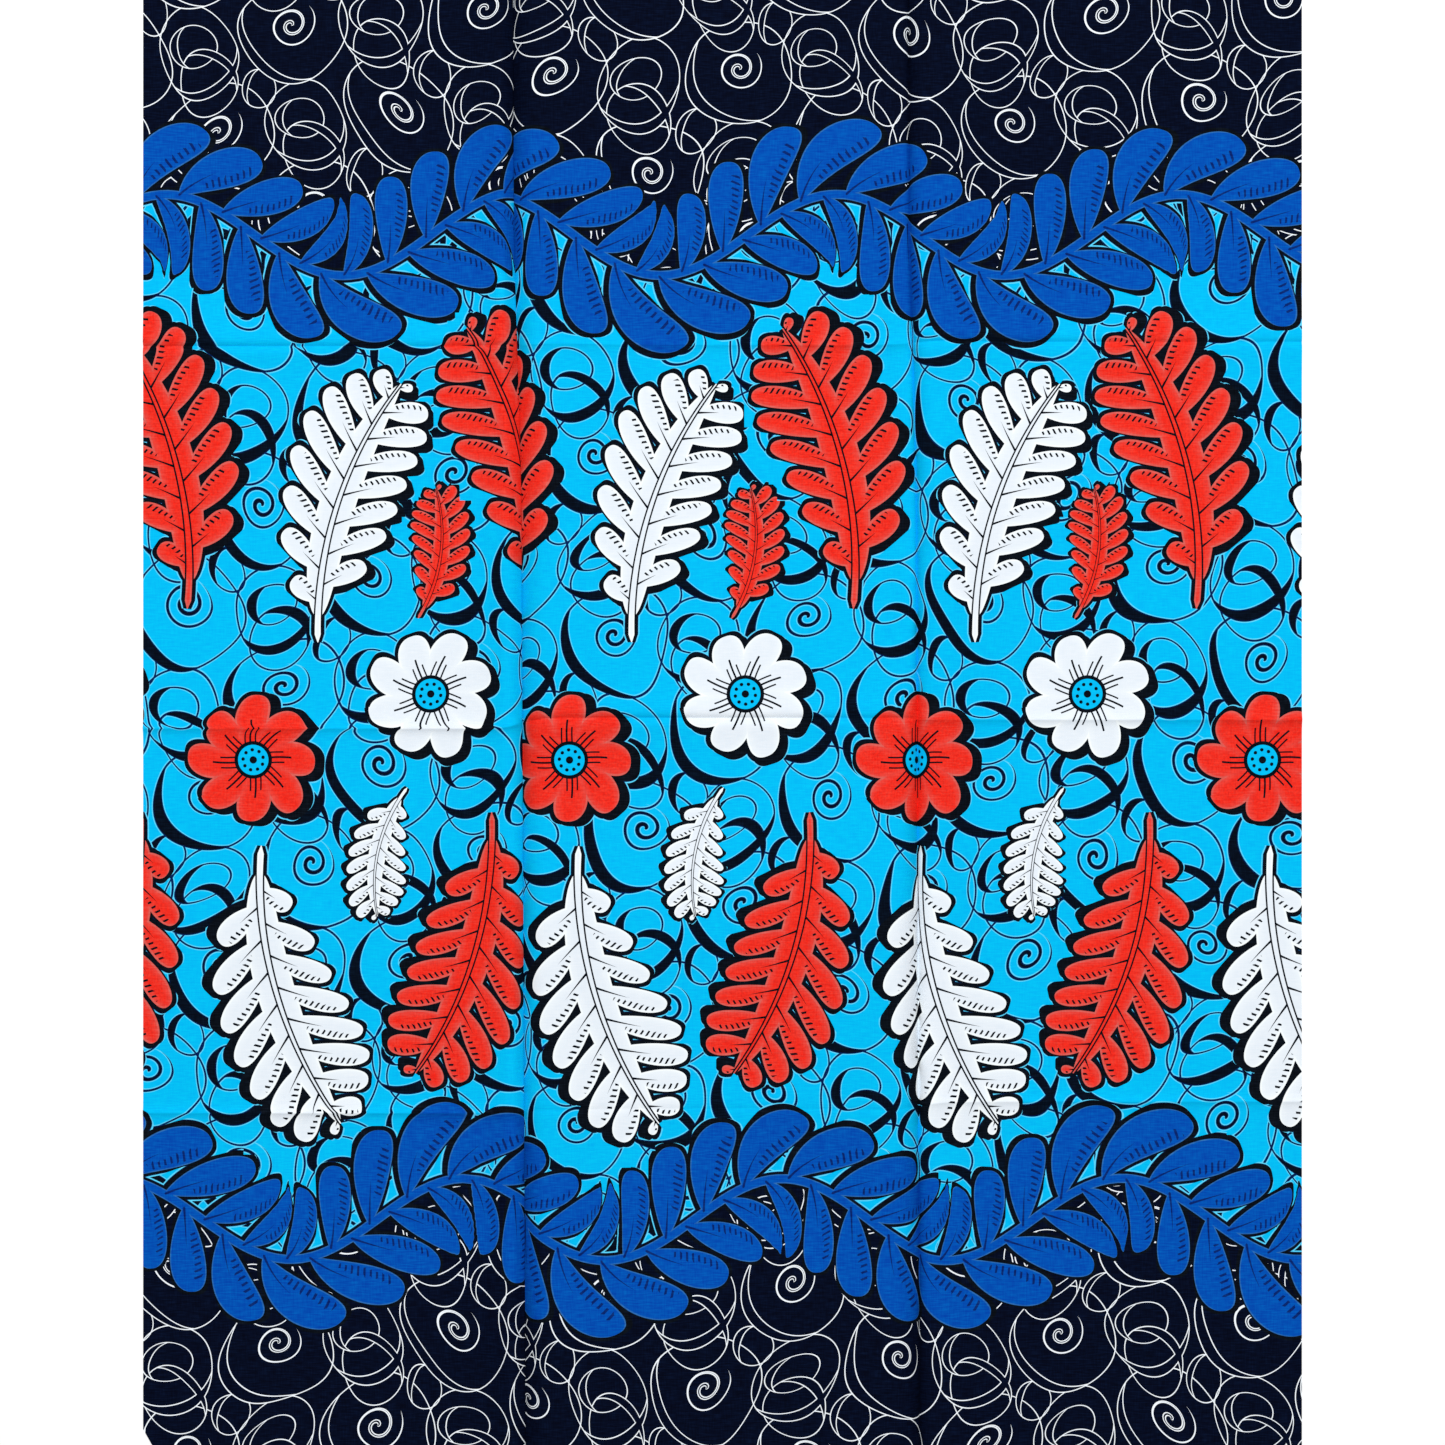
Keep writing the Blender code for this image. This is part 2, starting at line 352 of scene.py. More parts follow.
# One repeat of the motifs, as long as a wave of the garland: middle, turn in degrees, bend, scale and kind.
motifs = [
    {"x": 92.0, "y": 219.0, "turn": 106.0, "bend": 1.0, "scale": 1.0, "kind": "redLeaf"},
    {"x": -53.0, "y": 184.0, "turn": 70.0, "bend": -1.0, "scale": 0.94, "kind": "whiteLeaf"},
    {"x": -98.0, "y": -219.0, "turn": -72.0, "bend": 1.0, "scale": 1.0, "kind": "whiteLeaf"},
    {"x": 54.0, "y": -185.0, "turn": -108.0, "bend": -1.0, "scale": 0.94, "kind": "redLeaf"},
    {"x": 18.0, "y": 26.0, "turn": 12.0, "bend": 0.0, "scale": 1.0, "kind": "whiteBlossom"},
    {"x": 157.0, "y": -26.0, "turn": 35.0, "bend": 0.0, "scale": 1.0, "kind": "redBlossom"},
    {"x": 26.0, "y": 140.0, "turn": 84.0, "bend": 1.2, "scale": 0.46, "kind": "redLeaf"},
    {"x": -22.0, "y": -101.0, "turn": -100.0, "bend": 1.2, "scale": 0.46, "kind": "whiteLeaf"},
]

# How often the repeat is laid to each side, and how much bolder a small motif's line is.
layout = {"repeats": 3, "bolder": 0.6}

# Code 0 is left for the garland, and even codes are white.
motifCodes = {"redLeaf": 1.0, "whiteLeaf": 2.0, "redBlossom": 3.0, "whiteBlossom": 4.0}

# The search for the garland's nearest point, and the ruler that measures along it.
search = {"rounds": 30, "ease": 0.7, "step": 20.0, "ruler": 700.0, "marks": 5601}


def wave(along, half):
    # the height of the garland's stem, and its slope
    rate = 2.0 * math.pi / garland["period"]
    phase = rate * (along - garland["shift"] - (half < 0) * garland["lag"])
    return garland["height"] + garland["swing"] * np.sin(phase), garland["swing"] * rate * np.cos(phase)


def garlandPlane(flat):
    # along the garland's stem and away from it, outwards positive
    half = np.where(flat[:, 1] < 0.0, -1.0, 1.0)
    height = np.abs(flat[:, 1])
    nearest = flat[:, 0].copy()
    for _ in range(search["rounds"]):
        stem, slope = wave(nearest, half)
        error = (flat[:, 0] - nearest) + (height - stem) * slope
        nearest += search["ease"] * np.clip(error, -search["step"], search["step"]) / (1.0 + slope * slope)
    stem, slope = wave(nearest, half)
    away = np.where(height < stem, -1.0, 1.0) * np.hypot(flat[:, 0] - nearest, height - stem)
    ruler = np.linspace(-search["ruler"], search["ruler"], search["marks"])
    along = np.empty(len(flat))
    for sign in (-1.0, 1.0):
        slopes = wave(ruler, np.full(len(ruler), sign))[1]
        length = np.concatenate([[0.0], np.cumsum(np.hypot(1.0, slopes[1:]) * np.diff(ruler))])
        picked = half == sign
        along[picked] = np.interp(nearest[picked], ruler, length)
    return along, away, height - stem


def motifRows():
    # every motif that may show, repeat by repeat
    return [{**motif, "x": motif["x"] + count * garland["period"]}
            for count in range(-layout["repeats"], layout["repeats"] + 1) for motif in motifs]


def motifPlane(row, points):
    # a motif's own coordinates: along and away from a leaf's bent midrib, or across a blossom
    turn = math.radians(row["turn"])
    ahead = np.array([math.cos(turn), math.sin(turn)])
    left = np.array([-ahead[1], ahead[0]])
    away = points - np.array([row["x"], row["y"]])
    if "Blossom" in row["kind"]:
        return away @ ahead / row["scale"], away @ left / row["scale"]
    radius = row["scale"] / (lobedLeaf["bend"] * row["bend"])
    away = away - left * radius
    side = math.copysign(1.0, radius)
    angle = np.arctan2(away @ ahead, -side * (away @ left))
    aside = radius - side * np.hypot(away[:, 0], away[:, 1])
    return angle * abs(radius) / row["scale"] + lobedLeaf["length"] / 2.0, aside / row["scale"]


def motifReach(row, points):
    # 1 where a motif ends, more beyond it
    along, away = motifPlane(row, points)
    if "Blossom" in row["kind"]:
        return np.hypot(along, away) / (blossom["radius"] + blossom["margin"])
    half = lobedLeaf["length"] / 2.0
    margin = lobedLeaf["margin"] / row["scale"]
    return np.hypot((along - half) / (half + margin), away / (lobedLeaf["reach"] + margin))


def chartPrint(piece, flat):
    # each face corner's place on the flat cloth, on the garland and on its nearest motif, in millimetres
    mesh = piece.data
    corners = np.empty(len(mesh.loops), dtype=int)
    mesh.loops.foreach_get("vertex_index", corners)
    corners = corners.reshape(-1, 4)
    flat = flat * 1000.0
    plane = np.zeros((corners.size, 3))
    plane[:, :2] = flat[corners.ravel()]
    along, away, rise = garlandPlane(flat)
    nearGarland = np.abs(away[corners]).max(axis=1) < garland["zone"]
    leaf = np.zeros((len(corners), 4, 3))
    leaf[nearGarland, :, 0] = along[corners[nearGarland]]
    leaf[nearGarland, :, 1] = away[corners[nearGarland]]
    lineGain = np.ones(len(corners))
    middle = flat[corners].mean(axis=1)
    rows = motifRows()
    nearest = np.stack([motifReach(row, middle) for row in rows]).argmin(axis=0)
    for index, row in enumerate(rows):
        picked = (nearest == index) & ~nearGarland
        first, second = motifPlane(row, flat[corners[picked]].reshape(-1, 2))
        leaf[picked, :, 0] = first.reshape(-1, 4)
        leaf[picked, :, 1] = second.reshape(-1, 4)
        leaf[picked, :, 2] = motifCodes[row["kind"]]
        lineGain[picked] = row["scale"] ** -layout["bolder"]
    # how far a place is above the garland's stem, and how much bolder its line is
    notes = np.stack([rise[corners.ravel()], np.repeat(lineGain, 4), np.zeros(len(plane))], axis=1)
    for name, values in (("clothPlane", plane), ("leafPlane", leaf), ("printNotes", notes)):
        layer = mesh.attributes.new(name, "FLOAT_VECTOR", "CORNER")
        layer.data.foreach_set("vector", values.astype(np.float32).ravel())
    # the colour map's own square: the print face and the back share it, because the dye goes through
    mesh.uv_layers.remove(mesh.uv_layers["UVMap"])
    chart = mesh.uv_layers.new(name="OFBake")
    low, high = flat.min(axis=0), flat.max(axis=0)
    square = (flat[corners.ravel()] - low) / (high - low)
    chart.data.foreach_set("uv", square.astype(np.float32).ravel())
    print("print charted on", len(corners), "faces")


def thicken(piece):
    bpy.ops.object.select_all(action="DESELECT")
    piece.select_set(True)
    bpy.context.view_layer.objects.active = piece
    wall = piece.modifiers.new("wall", "SOLIDIFY")
    wall.thickness = cloth["thickness"]
    wall.offset = -1.0
    bpy.ops.object.modifier_apply(modifier=wall.name)
    bpy.ops.object.shade_smooth_by_angle(angle=math.radians(cloth["smoothBelow"]))


def linear(hexColour):
    # sRGB hex to the linear colour that a shader takes
    values = [int(hexColour[at:at + 2], 16) / 255.0 for at in (1, 3, 5)]
    values = [v / 12.92 if v <= 0.04045 else ((v + 0.055) / 1.055) ** 2.4 for v in values]
    return (*values, 1.0)


def addNode(tree, kind, sockets=(), **settings):
    # a kind may be followed by its operation, and sockets are given in order or by name
    kind, *operation = kind.split()
    made = tree.nodes.new("ShaderNode" + kind)
    if operation:
        made.operation = operation[0]
    for name, value in settings.items():
        setattr(made, name, value)
    for key, value in sockets.items() if isinstance(sockets, dict) else enumerate(sockets):
        if isinstance(value, bpy.types.Node):
            value = value.outputs[0]
        if isinstance(value, bpy.types.NodeSocket):
            tree.links.new(value, made.inputs[key])
        else:
            made.inputs[key].default_value = value
    return made


def startGroup(name, inputs):
    tree = bpy.data.node_groups.new(name, "ShaderNodeTree")
    for socket in inputs:
        tree.interface.new_socket(socket, in_out="INPUT", socket_type="NodeSocketFloat")
    return tree, tree.nodes.new("NodeGroupInput").outputs


def finishGroup(tree, results):
    for socket in results:
        tree.interface.new_socket(socket, in_out="OUTPUT", socket_type="NodeSocketFloat")
    ends = tree.nodes.new("NodeGroupOutput").inputs
    for socket, made in results.items():
        tree.links.new(made.outputs[0], ends[socket])
    return tree


def pick(tree, chosen, first, second):
    # the second value where chosen is 1, else the first
    gap = addNode(tree, "Math SUBTRACT", [second, first])
    return addNode(tree, "Math MULTIPLY_ADD", [gap, chosen, first])


def hump(tree, share, rise, fall):
    # share ** rise * (1 - share) ** fall: how a leaf widens from its root and closes at its tip
    rising = addNode(tree, "Math POWER", [share, rise])
    left = addNode(tree, "Math SUBTRACT", [1.0, share])
    falling = addNode(tree, "Math POWER", [left, fall])
    return addNode(tree, "Math MULTIPLY", [rising, falling])


def peakOf(rise, fall):
    # what a hump is multiplied by to peak at 1
    return ((rise + fall) / rise) ** rise * ((rise + fall) / fall) ** fall


farAway = 1000.0  # in millimetres, further than any line reaches


def outsideBy(tree, off, half, least):
    # how far a place is outside a form of this half width. A form narrower than least isn't there.
    away = addNode(tree, "Math SUBTRACT", [off, half])
    missing = addNode(tree, "Math LESS_THAN", [half, least])
    return addNode(tree, "Math MULTIPLY_ADD", [missing, farAway, away])


# Single leaves and lobes alike: narrow at the root, blunt at the tip, and each a little unlike the next.
leafForm = {
    "rise": 0.80,
    "fall": 0.42,
    "uneven": 0.06,
    "unevenRates": (1.93, 2.71),
    "fullReach": 26.0,  # a leaf that reaches less is narrower too
    "least": 0.01,
}


def leafRowGroup():
    # leaves or lobes in two ranks beside a stem. Away is the distance off the stem.
    tree, given = startGroup("leaf row", (
        "Along", "Away", "Pitch", "Reach", "Length", "Rise", "Fall", "Sweep", "Width", "Line"))
    side = addNode(tree, "Math LESS_THAN", [given["Away"], 0.0])
    out = addNode(tree, "Math ABSOLUTE", [given["Away"]])
    lead = addNode(tree, "Math MULTIPLY", [out, given["Sweep"]])
    ahead = addNode(tree, "Math SUBTRACT", [given["Along"], lead])
    count = addNode(tree, "Math DIVIDE", [ahead, given["Pitch"]])
    count = addNode(tree, "Math MULTIPLY_ADD", [side, 0.5, count])
    number = addNode(tree, "Math FLOOR", [count])
    rest = addNode(tree, "Math SUBTRACT", [count, number])
    centred = addNode(tree, "Math SUBTRACT", [rest, 0.5])
    # the leaf's root on the stem, and how far its tip may reach there
    root = addNode(tree, "Math MULTIPLY_ADD", [side, -0.5, number])
    root = addNode(tree, "Math ADD", [root, 0.5])
    root = addNode(tree, "Math MULTIPLY", [root, given["Pitch"]])
    part = addNode(tree, "Math DIVIDE", [root, given["Length"]])
    reach = addNode(tree, "Math MULTIPLY", [hump(tree, part, given["Rise"], given["Fall"]), given["Reach"]])
    # leaves drawn by hand differ a little in length
    seed = addNode(tree, "Math MULTIPLY_ADD", [number, leafForm["unevenRates"][0], side])
    seed = addNode(tree, "Math MULTIPLY", [seed, leafForm["unevenRates"][1]])
    seed = addNode(tree, "Math SINE", [seed])
    uneven = addNode(tree, "Math MULTIPLY_ADD", [seed, leafForm["uneven"], 1.0 - leafForm["uneven"]])
    reach = addNode(tree, "Math MULTIPLY", [reach, uneven])
    # the leaf leans forward: a place along its own axis, and across it
    square = addNode(tree, "Math MULTIPLY_ADD", [given["Sweep"], given["Sweep"], 1.0])
    slant = addNode(tree, "Math SQRT", [square])
    offset = addNode(tree, "Math SUBTRACT", [given["Along"], root])
    axis = addNode(tree, "Math MULTIPLY_ADD", [offset, given["Sweep"], out])
    leafLength = addNode(tree, "Math MULTIPLY", [reach, square])
    place = addNode(tree, "Math DIVIDE", [axis, leafLength])
    wide = addNode(tree, "Math MULTIPLY", [centred, given["Pitch"]])
    across = addNode(tree, "Math DIVIDE", [wide, slant])
    off = addNode(tree, "Math ABSOLUTE", [across])
    narrow = addNode(tree, "Math DIVIDE", [reach, leafForm["fullReach"]])
    narrow = addNode(tree, "Math MINIMUM", [narrow, 1.0])
    width = addNode(tree, "Math MULTIPLY", [narrow, given["Width"]])
    # the line round the leaf is the outline of a longer leaf with the same middle
    long = addNode(tree, "Math MULTIPLY", [reach, slant])
    longer = addNode(tree, "Math MULTIPLY_ADD", [given["Line"], 2.0, long])
    shrink = addNode(tree, "Math DIVIDE", [long, longer])
    fromMiddle = addNode(tree, "Math SUBTRACT", [place, 0.5])
    linePlace = addNode(tree, "Math MULTIPLY_ADD", [fromMiddle, shrink, 0.5])
    half, lineHalf = (
        addNode(tree, "Math MULTIPLY", [hump(tree, at, leafForm["rise"], leafForm["fall"]), width])
        for at in (place, linePlace))
    inside = addNode(tree, "Math SUBTRACT", [half, off])
    outside = outsideBy(tree, off, lineHalf, leafForm["least"])
    edge = addNode(tree, "Math SUBTRACT", [outside, given["Line"]])
    return finishGroup(tree, {"Inside": inside, "Edge": edge, "Place": place, "Across": across,
                              "Half": half, "Long": long, "Seed": seed})


# What is drawn in a leaf: a vein by its half width at the root, and dashes. Low and high are where the row
# of dashes lies in the half width and how ragged it is there. First and last are shares of the leaf.
leafMarks = {
    "vein": 1.0,
    "veinThins": 2.0,
    "apart": 4.8,
    "share": 0.36,
    "lean": 0.08,
    "low": (0.34, 0.08),
    "high": (0.78, 0.05),
    "raggedRate": 1.1,
    "first": 0.30,
    "last": 0.86,
}


def leafMarksGroup():
    # a midvein that dies out before the tip, and short dashes along the leaf's upper side
    tree, given = startGroup("leaf marks", ("Place", "Across", "Half", "Length", "Seed"))
    off = addNode(tree, "Math ABSOLUTE", [given["Across"]])
    thin = addNode(tree, "Math MULTIPLY_ADD", [given["Place"], -leafMarks["veinThins"], leafMarks["vein"]])
    vein = addNode(tree, "Math LESS_THAN", [off, thin])
    along = addNode(tree, "Math MULTIPLY", [given["Place"], given["Length"]])
    level = addNode(tree, "Math DIVIDE", [given["Across"], given["Half"]])
    beat = addNode(tree, "Math MULTIPLY_ADD", [along, 1.0 / leafMarks["apart"], given["Seed"]])
    beat = addNode(tree, "Math MULTIPLY_ADD", [given["Across"], leafMarks["lean"], beat])
    beat = addNode(tree, "Math FRACT", [beat])
    dash = addNode(tree, "Math LESS_THAN", [beat, leafMarks["share"]])
    ragged = addNode(tree, "Math MULTIPLY", [along, leafMarks["raggedRate"]])
    ragged = addNode(tree, "Math SINE", [ragged])
    low, high = (addNode(tree, "Math MULTIPLY_ADD", [ragged, swing, middle])
                 for middle, swing in (leafMarks["low"], leafMarks["high"]))
    for value, limit, test in ((level, low, "GREATER_THAN"), (level, high, "LESS_THAN"),
                               (given["Place"], leafMarks["first"], "GREATER_THAN"),
                               (given["Place"], leafMarks["last"], "LESS_THAN")):
        within = addNode(tree, "Math " + test, [value, limit])
        dash = addNode(tree, "Math MULTIPLY", [dash, within])
    return finishGroup(tree, {"Mark": addNode(tree, "Math MAXIMUM", [vein, dash])})


def blossomGroup():
    # petals round a heart, from a place across the blossom
    tree, given = startGroup("blossom", ("X", "Y"))
    cell = 2.0 * math.pi / blossom["petals"]
    line, seeds = blossom["line"], blossom["seeds"]
    spot = addNode(tree, "CombineXYZ", [given["X"], given["Y"]])
    reach = addNode(tree, "VectorMath LENGTH", [spot]).outputs["Value"]
    angle = addNode(tree, "Math ARCTAN2", [given["Y"], given["X"]])
    turn = addNode(tree, "Math MULTIPLY", [angle, 1.0 / cell])
    turn = addNode(tree, "Math MULTIPLY_ADD", [reach, blossom["twist"] / blossom["radius"], turn])
    number = addNode(tree, "Math FLOOR", [turn])
    rest = addNode(tree, "Math SUBTRACT", [turn, number])
    centred = addNode(tree, "Math SUBTRACT", [rest, 0.5])
    swing = addNode(tree, "Math MULTIPLY", [centred, cell])
    across, along = (
        addNode(tree, "Math MULTIPLY", [addNode(tree, "Math " + function, [swing]), reach])
        for function in ("SINE", "COSINE"))
    off = addNode(tree, "Math ABSOLUTE", [across])
    seed = addNode(tree, "Math MULTIPLY", [number, blossom["unevenRate"]])
    seed = addNode(tree, "Math SINE", [seed])
    uneven, radius = blossom["uneven"], blossom["radius"]
    long = addNode(tree, "Math MULTIPLY_ADD", [seed, uneven, radius - uneven])
    place = addNode(tree, "Math DIVIDE", [along, long])
    linePlace = addNode(tree, "Math MULTIPLY", [place, radius / (radius + line)])
    rise, fall = blossom["rise"], blossom["fall"]
    widest = blossom["petalWidth"] * peakOf(rise, fall)
    half, lineHalf = (addNode(tree, "Math MULTIPLY", [hump(tree, at, rise, fall), widest])
                      for at in (place, linePlace))
    inside = addNode(tree, "Math SUBTRACT", [half, off])
    outside = outsideBy(tree, off, lineHalf, leafForm["least"])
    edge = addNode(tree, "Math SUBTRACT", [outside, line])
    # a ring round the heart, and strokes up each petal, the middle one longest
    mark = addNode(tree, "Math LESS_THAN", [reach, blossom["heart"] + line])
    for aside, halfWidth, upTo in blossom["strokes"]:
        beside = addNode(tree, "Math COMPARE", [off, aside, halfWidth])
        before = addNode(tree, "Math LESS_THAN", [place, upTo])
        stroke = addNode(tree, "Math MULTIPLY", [beside, before])
        mark = addNode(tree, "Math MAXIMUM", [mark, stroke])
    # the heart has a core and a ring of seeds
    spin = addNode(tree, "Math MULTIPLY", [angle, seeds["count"] / (2.0 * math.pi)])
    spin = addNode(tree, "Math FRACT", [spin])
    spin = addNode(tree, "Math SUBTRACT", [spin, 0.5])
    bead = addNode(tree, "CombineXYZ", [addNode(tree, "Math MULTIPLY", [spin, seeds["apart"]]),
                                        addNode(tree, "Math SUBTRACT", [reach, seeds["ring"]])])
    bead = addNode(tree, "VectorMath LENGTH", [bead]).outputs["Value"]
    bead = addNode(tree, "Math LESS_THAN", [bead, seeds["radius"]])
    core = addNode(tree, "Math LESS_THAN", [reach, blossom["core"]])
    dark = addNode(tree, "Math MAXIMUM", [bead, core])
    heart = addNode(tree, "Math LESS_THAN", [reach, blossom["heart"]])
    heart = addNode(tree, "Math SUBTRACT", [heart, dark])
    return finishGroup(tree, {"Inside": inside, "Edge": edge, "Mark": mark, "Heart": heart})


# Scrolls behind the motifs, on a square repeat that is turned: loops with one heavy side, and a volute.
# Places and radii are in millimetres, the heavy side is in degrees.
scrolls = {
    "repeat": 104.0,
    "turn": 38.0,
    "curls": [
        {"x": 0.0, "y": 0.0, "radius": 43.0, "swell": 4.0, "heavy": 255.0},
        {"x": 50.0, "y": 46.0, "radius": 36.0, "swell": 3.8, "heavy": 330.0, "press": (0.33, 0.20)},
        {"x": 44.0, "y": 48.0, "radius": 20.0, "swell": 3.0, "heavy": 215.0, "press": (0.44, -0.30)},
        {"x": 3.0, "y": 48.0, "radius": 17.0, "swell": 2.8, "heavy": 200.0, "press": (0.30, 0.30)},
        {"x": -36.0, "y": 30.0, "radius": 27.0, "swell": 3.6, "heavy": 90.0, "press": (0.20, 0.36)},
        {"x": -3.0, "y": 4.0, "radius": 19.0, "gap": 9.0, "half": 1.3, "start": 0.4},
    ],
    # a loop swells where it turns far enough to its heavy side
    "heavyGain": 1.5,
    "heavyFrom": 0.45,
    # how bluntly a volute ends
    "cut": 5.0,
    # the hand of the drawing: how far the scrolls stray, along which wave, and its phase
    "strays": [
        ((5.0, 0.0), (0.0130, 0.0330), 0.4),
        ((0.0, 5.5), (0.0290, -0.0120), 1.9),
        ((2.0, 0.0), (-0.0210, 0.0710), 3.1),
        ((0.0, 2.2), (0.0640, 0.0270), 5.0),
    ],
    # how far beside a stroke the halo and the dark line end, and half of a white line in the bands
    "halo": 1.55,
    "line": 0.80,
    "whiteLine": 0.41,
}


def loopStroke(tree, own, reach, curl):
    # the outer edge stays round, the inner one swells into a crescent
    heavy = math.radians(curl["heavy"])
    towards = (scrolls["heavyGain"] * math.cos(heavy), scrolls["heavyGain"] * math.sin(heavy), 0.0)
    lean = addNode(tree, "VectorMath DOT_PRODUCT", [own, towards]).outputs["Value"]
    lean = addNode(tree, "Math DIVIDE", [lean, reach])
    lean = addNode(tree, "Math SUBTRACT", [lean, scrolls["heavyFrom"]])
    lean = addNode(tree, "Math MAXIMUM", [lean, 0.0])
    off = addNode(tree, "Math SUBTRACT", [reach, curl["radius"]])
    off = addNode(tree, "Math MULTIPLY_ADD", [lean, curl["swell"], off])
    off = addNode(tree, "Math ABSOLUTE", [off])
    return addNode(tree, "Math MULTIPLY_ADD", [lean, -curl["swell"], off])


def voluteStroke(tree, own, reach, curl):
    # a spiral that opens by one gap a turn, and grows thinner as it does
    sides = addNode(tree, "SeparateXYZ", [own])
    angle = addNode(tree, "Math ARCTAN2", [sides.outputs[1], sides.outputs[0]])
    lag = addNode(tree, "Math MULTIPLY_ADD", [angle, -curl["gap"] / (2.0 * math.pi), reach])
    lag = addNode(tree, "Math ADD", [lag, curl["start"]])
    lag = addNode(tree, "Math WRAP", [lag, curl["gap"] / 2, -curl["gap"] / 2])
    lag = addNode(tree, "Math ABSOLUTE", [lag])
    lag = addNode(tree, "Math MULTIPLY_ADD", [reach, curl["half"] / curl["radius"], lag])
    stroke = addNode(tree, "Math SUBTRACT", [lag, curl["half"]])
    past = addNode(tree, "Math SUBTRACT", [reach, curl["radius"]])
    past = addNode(tree, "Math MULTIPLY", [past, scrolls["cut"]])
    return addNode(tree, "Math MAXIMUM", [stroke, past])


def scrollDistance(tree, plane):
    # distance in millimetres outside the nearest stroke of the scrolls
    strayed = plane
    for size, along, phase in scrolls["strays"]:
        swing = addNode(tree, "VectorMath DOT_PRODUCT", [plane, (*along, 0.0)]).outputs["Value"]
        swing = addNode(tree, "Math ADD", [swing, phase])
        swing = addNode(tree, "Math SINE", [swing])
        moved = addNode(tree, "VectorMath SCALE", {0: (*size, 0.0), "Scale": swing})
        strayed = addNode(tree, "VectorMath ADD", [strayed, moved])
    strayed = addNode(tree, "VectorRotate", {"Vector": strayed, "Angle": math.radians(scrolls["turn"])},
                      rotation_type="Z_AXIS")
    half = scrolls["repeat"] / 2.0
    nearest = None
    for curl in scrolls["curls"]:
        own = addNode(tree, "VectorMath SUBTRACT", [strayed, (curl["x"], curl["y"], 0.0)])
        own = addNode(tree, "VectorMath WRAP", [own, (half, half, half), (-half, -half, -half)])
        if "press" in curl:
            # an oval: a circle pressed together along one line
            press = (*curl["press"], 0.0)
            across = addNode(tree, "VectorMath DOT_PRODUCT", [own, press]).outputs["Value"]
            pressed = addNode(tree, "VectorMath SCALE", {0: press, "Scale": across})
            own = addNode(tree, "VectorMath ADD", [own, pressed])
        reach = addNode(tree, "VectorMath LENGTH", [own]).outputs["Value"]
        draw = voluteStroke if "gap" in curl else loopStroke
        stroke = draw(tree, own, reach, curl)
        nearest = stroke if nearest is None else addNode(tree, "Math MINIMUM", [nearest, stroke])
    return nearest


inks = {
    "field": linear("#00BAF0"),
    "band": linear("#02081E"),
    "curl": linear("#020B1A"),
    "navy": linear("#001D52"),
    "halo": linear("#5AD1F7"),
    "whiteLine": linear("#F4FAFF"),
    "garland": linear("#004FB0"),
    "garlandRim": linear("#2966AC"),
    "garlandMark": linear("#06266B"),
    "outline": linear("#060C15"),
    "red": linear("#F53021"),
    "redDeep": linear("#DA2B21"),
    "redRim": linear("#D65A52"),
    "white": linear("#E4ECF4"),
    "whiteRim": linear("#F3F9FB"),
}


def layInks(tree, colour, layers):
    # each ink covers what is under it where its mask is 1
    for mask, ink in layers:
        colour = addNode(tree, "Mix", {0: mask, 6: colour, 7: ink}, data_type="RGBA").outputs[2]
    return colour


def scrollLayers(tree, plane, inBand, inField):
    # A fine stroke takes less dye than the heart of a broad one, and dries navy. In the bands the strokes
    # are left white, as outlines only.
    stroke = scrollDistance(tree, plane)
    layers = [(inBand, inks["band"])]
    for limit, ink in ((scrolls["halo"], "halo"), (scrolls["line"], "navy"), (0.0, "curl")):
        mask = addNode(tree, "Math LESS_THAN", [stroke, limit])
        layers.append((addNode(tree, "Math MULTIPLY", [mask, inField]), inks[ink]))
    outline = addNode(tree, "Math COMPARE", [stroke, 0.0, scrolls["whiteLine"]])
    return layers + [(addNode(tree, "Math MULTIPLY", [outline, inBand]), inks["whiteLine"])]


def kindMasks(tree, code):
    # which kind of motif a place belongs to
    motif = addNode(tree, "Math GREATER_THAN", [code, 0.5])
    flower = addNode(tree, "Math GREATER_THAN", [code, 2.5])
    lobed = addNode(tree, "Math SUBTRACT", [motif, flower])
    odd = addNode(tree, "Math PINGPONG", [code, 1.0])
    white = addNode(tree, "Math LESS_THAN", [odd, 0.5])
    return {"motif": motif, "blossom": flower, "lobed": lobed, "white": white}


# The dark line is heavier on one side, most of all under the motifs.
heavySide = {"garland": 1.8, "motif": 2.4, "forward": 0.57, "blossom": (-3.4, 4.0)}


